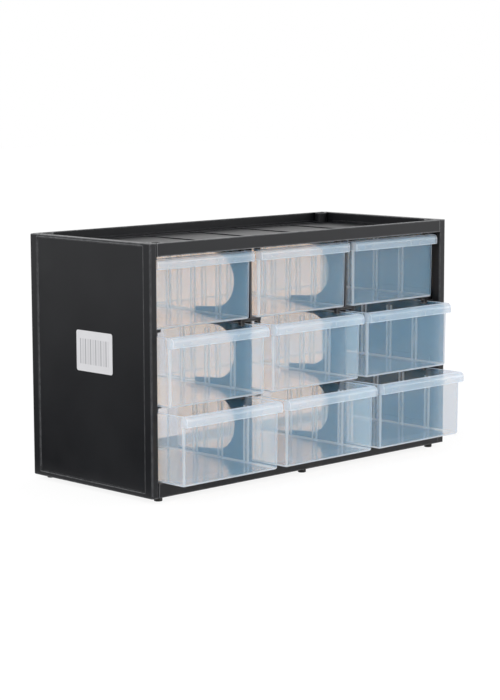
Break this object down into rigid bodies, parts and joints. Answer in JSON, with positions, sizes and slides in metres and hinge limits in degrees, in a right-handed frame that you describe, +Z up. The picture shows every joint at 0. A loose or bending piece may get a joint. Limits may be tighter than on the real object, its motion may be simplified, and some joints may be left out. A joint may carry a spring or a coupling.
{
  "type": "parts bin cabinet",
  "caption": "Bench-top parts cabinet: see-through drawers in rows and columns slide in an open-backed black frame with a tray and stacking sockets on top.",
  "frame": {"origin": "on the floor under the middle of the cabinet and its drawers as they stand", "axes": "+Z up; the drawers face and open towards -Y; +X to the right as seen from the front"},
  "size_m": [0.365, 0.1864, 0.213],
  "materials": {
    "black_plastic": "moulded, semi-gloss",
    "clear_plastic": "translucent milky, glossy",
    "foot_plastic": "matte",
    "label": "printed film, satin"
  },
  "bodies": {
    "cabinet": {"top_tray": "black_plastic", "base_tray": "black_plastic", "left_side_panel": "black_plastic", "right_side_panel": "black_plastic", "left_partition": "black_plastic", "right_partition": "black_plastic", "side_label": "label", "front_left_foot": "foot_plastic", "front_centre_foot": "foot_plastic", "front_right_foot": "foot_plastic", "rear_left_foot": "foot_plastic", "rear_centre_foot": "foot_plastic", "rear_right_foot": "foot_plastic"},
    "drawer_top_left": {"drawer_top_left": "clear_plastic"},
    "drawer_top_centre": {"drawer_top_centre": "clear_plastic"},
    "drawer_top_right": {"drawer_top_right": "clear_plastic"},
    "drawer_middle_left": {"drawer_middle_left": "clear_plastic"},
    "drawer_middle_centre": {"drawer_middle_centre": "clear_plastic"},
    "drawer_middle_right": {"drawer_middle_right": "clear_plastic"},
    "drawer_bottom_left": {"drawer_bottom_left": "clear_plastic"},
    "drawer_bottom_centre": {"drawer_bottom_centre": "clear_plastic"},
    "drawer_bottom_right": {"drawer_bottom_right": "clear_plastic"}
  },
  "joints": [
    {"name": "drawer_top_left_slide", "type": "slide", "parent": "cabinet", "child": "drawer_top_left", "axis": [0, -1, 0], "range_m": [0, 0.1296]},
    {"name": "drawer_top_centre_slide", "type": "slide", "parent": "cabinet", "child": "drawer_top_centre", "axis": [0, -1, 0], "range_m": [0, 0.1296]},
    {"name": "drawer_top_right_slide", "type": "slide", "parent": "cabinet", "child": "drawer_top_right", "axis": [0, -1, 0], "range_m": [0, 0.1296]},
    {"name": "drawer_middle_left_slide", "type": "slide", "parent": "cabinet", "child": "drawer_middle_left", "axis": [0, -1, 0], "range_m": [-0.0175, 0.1121]},
    {"name": "drawer_middle_centre_slide", "type": "slide", "parent": "cabinet", "child": "drawer_middle_centre", "axis": [0, -1, 0], "range_m": [-0.0175, 0.1121]},
    {"name": "drawer_middle_right_slide", "type": "slide", "parent": "cabinet", "child": "drawer_middle_right", "axis": [0, -1, 0], "range_m": [-0.0175, 0.1121]},
    {"name": "drawer_bottom_left_slide", "type": "slide", "parent": "cabinet", "child": "drawer_bottom_left", "axis": [0, -1, 0], "range_m": [-0.0335, 0.0961]},
    {"name": "drawer_bottom_centre_slide", "type": "slide", "parent": "cabinet", "child": "drawer_bottom_centre", "axis": [0, -1, 0], "range_m": [-0.0335, 0.0961]},
    {"name": "drawer_bottom_right_slide", "type": "slide", "parent": "cabinet", "child": "drawer_bottom_right", "axis": [0, -1, 0], "range_m": [-0.0335, 0.0961]}
  ]
}
